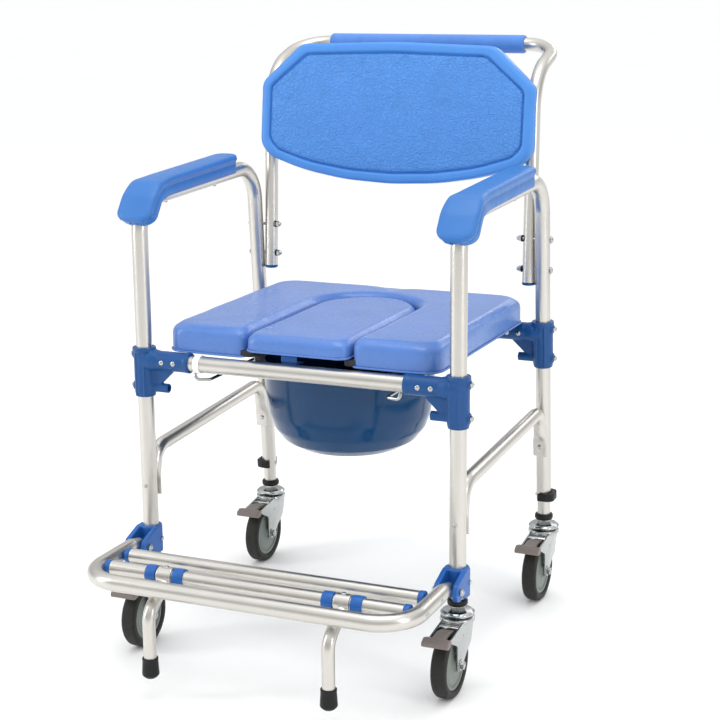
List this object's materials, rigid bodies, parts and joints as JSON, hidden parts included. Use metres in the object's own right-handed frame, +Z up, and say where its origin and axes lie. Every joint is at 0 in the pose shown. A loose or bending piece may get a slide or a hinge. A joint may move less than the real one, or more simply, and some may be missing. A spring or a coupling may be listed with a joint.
{
  "type": "commode chair",
  "caption": "Wheeled commode chair: bent aluminium frame, padded seat with lift-out insert, sliding pail, fold-up footrest, telescopic legs and braked swivel casters.",
  "frame": {"origin": "on the floor, under the middle of the chair's overall box", "axes": "+Z up, -Y the way the sitter faces, +X to the right as seen from the front"},
  "size_m": [0.574, 0.7751, 0.929],
  "materials": {
    "anodised_tube": "satin anodised tube",
    "zinc_steel": "pressed, bright zinc plated",
    "zinc_wire": "bright zinc plated wire",
    "tee_plastic": "moulded, satin",
    "bracket_plastic": "moulded, satin",
    "armrest_plastic": "blow moulded, fine grain",
    "backrest_plastic": "blow moulded, leather grain panel",
    "seat_vinyl": "coated fabric over foam",
    "seat_board": "black stained board",
    "pail_plastic": "moulded, semi gloss",
    "grip_foam": "closed-cell foam sleeve",
    "tyre_rubber": "moulded, matt",
    "hub_plastic": "moulded, satin",
    "pedal_plastic": "moulded, satin",
    "black_rubber": "moulded, matt"
  },
  "bodies": {
    "frame": {"side_frame_left": "anodised_tube", "side_frame_right": "anodised_tube", "side_brace_left": "anodised_tube", "side_brace_right": "anodised_tube", "tee_joint_front_left": "tee_plastic", "tee_joint_front_right": "tee_plastic", "tee_joint_rear_left": "tee_plastic", "tee_joint_rear_right": "tee_plastic", "front_cross_tube": "anodised_tube", "rear_cross_tube": "anodised_tube", "armrest_left": "armrest_plastic", "armrest_right": "armrest_plastic", "back_frame": "anodised_tube", "push_bar_grip": "grip_foam", "backrest_panel": "backrest_plastic", "seat_board": "seat_board", "seat_pad": "seat_vinyl", "pail_rail_left": "zinc_wire", "pail_rail_right": "zinc_wire", "footrest_bracket_left": "bracket_plastic", "footrest_bracket_right": "bracket_plastic"},
    "insert": {"seat_insert": "seat_vinyl"},
    "pail": {"pail": "pail_plastic"},
    "clip_left": {"leg_clip_left": "black_rubber"},
    "clip_right": {"leg_clip_right": "black_rubber"},
    "footrest": {"footrest_frame": "anodised_tube", "footrest_rear_bar": "anodised_tube", "footrest_middle_bar": "anodised_tube"},
    "support_left": {"support_leg_left": "anodised_tube", "support_tip_left": "black_rubber"},
    "support_right": {"support_leg_right": "anodised_tube", "support_tip_right": "black_rubber"},
    "leg_front_left": {"leg_extension_front_left": "anodised_tube", "caster_swivel_front_left": "zinc_steel"},
    "leg_front_right": {"leg_extension_front_right": "anodised_tube", "caster_swivel_front_right": "zinc_steel"},
    "leg_rear_left": {"leg_extension_rear_left": "anodised_tube", "caster_swivel_rear_left": "zinc_steel"},
    "leg_rear_right": {"leg_extension_rear_right": "anodised_tube", "caster_swivel_rear_right": "zinc_steel"},
    "fork_front_left": {"caster_fork_front_left": "zinc_steel", "caster_axle_front_left": "zinc_steel"},
    "fork_front_right": {"caster_fork_front_right": "zinc_steel", "caster_axle_front_right": "zinc_steel"},
    "fork_rear_left": {"caster_fork_rear_left": "zinc_steel", "caster_axle_rear_left": "zinc_steel"},
    "fork_rear_right": {"caster_fork_rear_right": "zinc_steel", "caster_axle_rear_right": "zinc_steel"},
    "wheel_front_left": {"caster_tyre_front_left": "tyre_rubber", "caster_hub_front_left": "hub_plastic"},
    "wheel_front_right": {"caster_tyre_front_right": "tyre_rubber", "caster_hub_front_right": "hub_plastic"},
    "wheel_rear_left": {"caster_tyre_rear_left": "tyre_rubber", "caster_hub_rear_left": "hub_plastic"},
    "wheel_rear_right": {"caster_tyre_rear_right": "tyre_rubber", "caster_hub_rear_right": "hub_plastic"},
    "pedal_front_left": {"brake_pedal_front_left": "pedal_plastic"},
    "pedal_front_right": {"brake_pedal_front_right": "pedal_plastic"},
    "pedal_rear_left": {"brake_pedal_rear_left": "pedal_plastic"},
    "pedal_rear_right": {"brake_pedal_rear_right": "pedal_plastic"}
  },
  "joints": [
    {"name": "insert_lift", "type": "slide", "parent": "frame", "child": "insert", "axis": [0, 0, 1], "range_m": [0, 0.12]},
    {"name": "pail_slide", "type": "slide", "parent": "frame", "child": "pail", "axis": [0, 1, 0], "range_m": [0, 0.36]},
    {"name": "clip_pull_left", "type": "slide", "parent": "frame", "child": "clip_left", "axis": [-1, 0, 0], "range_m": [0, 0.012]},
    {"name": "clip_pull_right", "type": "slide", "parent": "frame", "child": "clip_right", "axis": [1, 0, 0], "range_m": [0, 0.012]},
    {"name": "footrest_fold", "type": "hinge", "parent": "frame", "child": "footrest", "pos_m": [0, -0.207, 0.166], "axis": [-1, 0, 0], "range_deg": [0, 90]},
    {"name": "support_fold_left", "type": "hinge", "parent": "footrest", "child": "support_left", "pos_m": [-0.143, -0.319, 0.172], "axis": [1, 0, 0], "range_deg": [0, 100]},
    {"name": "support_fold_right", "type": "hinge", "parent": "footrest", "child": "support_right", "pos_m": [0.143, -0.319, 0.172], "axis": [1, 0, 0], "range_deg": [0, 100]},
    {"name": "height_front_left", "type": "slide", "parent": "frame", "child": "leg_front_left", "axis": [0, 0, -1], "range_m": [0, 0.08]},
    {"name": "height_front_right", "type": "slide", "parent": "frame", "child": "leg_front_right", "axis": [0, 0, -1], "range_m": [0, 0.08]},
    {"name": "height_rear_left", "type": "slide", "parent": "frame", "child": "leg_rear_left", "axis": [0, 0.0698, -0.9976], "range_m": [0, 0.08]},
    {"name": "height_rear_right", "type": "slide", "parent": "frame", "child": "leg_rear_right", "axis": [0, 0.0698, -0.9976], "range_m": [0, 0.08]},
    {"name": "swivel_front_left", "type": "hinge", "parent": "leg_front_left", "child": "fork_front_left", "pos_m": [-0.2575, -0.167, 0.11], "axis": [0, 0, 1], "continuous": true},
    {"name": "swivel_front_right", "type": "hinge", "parent": "leg_front_right", "child": "fork_front_right", "pos_m": [0.2575, -0.167, 0.11], "axis": [0, 0, 1], "continuous": true},
    {"name": "swivel_rear_left", "type": "hinge", "parent": "leg_rear_left", "child": "fork_rear_left", "pos_m": [-0.2575, 0.25533, 0.11], "axis": [0, 0, 1], "continuous": true},
    {"name": "swivel_rear_right", "type": "hinge", "parent": "leg_rear_right", "child": "fork_rear_right", "pos_m": [0.2575, 0.25533, 0.11], "axis": [0, 0, 1], "continuous": true},
    {"name": "roll_front_left", "type": "hinge", "parent": "fork_front_left", "child": "wheel_front_left", "pos_m": [-0.2575, -0.2, 0.051], "axis": [1, 0, 0], "continuous": true},
    {"name": "roll_front_right", "type": "hinge", "parent": "fork_front_right", "child": "wheel_front_right", "pos_m": [0.2575, -0.2, 0.051], "axis": [1, 0, 0], "continuous": true},
    {"name": "roll_rear_left", "type": "hinge", "parent": "fork_rear_left", "child": "wheel_rear_left", "pos_m": [-0.2575, 0.22233, 0.051], "axis": [1, 0, 0], "continuous": true},
    {"name": "roll_rear_right", "type": "hinge", "parent": "fork_rear_right", "child": "wheel_rear_right", "pos_m": [0.2575, 0.22233, 0.051], "axis": [1, 0, 0], "continuous": true},
    {"name": "brake_front_left", "type": "hinge", "parent": "fork_front_left", "child": "pedal_front_left", "pos_m": [-0.2575, -0.209, 0.105], "axis": [1, 0, 0], "range_deg": [0, 12]},
    {"name": "brake_front_right", "type": "hinge", "parent": "fork_front_right", "child": "pedal_front_right", "pos_m": [0.2575, -0.209, 0.105], "axis": [1, 0, 0], "range_deg": [0, 12]},
    {"name": "brake_rear_left", "type": "hinge", "parent": "fork_rear_left", "child": "pedal_rear_left", "pos_m": [-0.2575, 0.21333, 0.105], "axis": [1, 0, 0], "range_deg": [0, 12]},
    {"name": "brake_rear_right", "type": "hinge", "parent": "fork_rear_right", "child": "pedal_rear_right", "pos_m": [0.2575, 0.21333, 0.105], "axis": [1, 0, 0], "range_deg": [0, 12]}
  ]
}
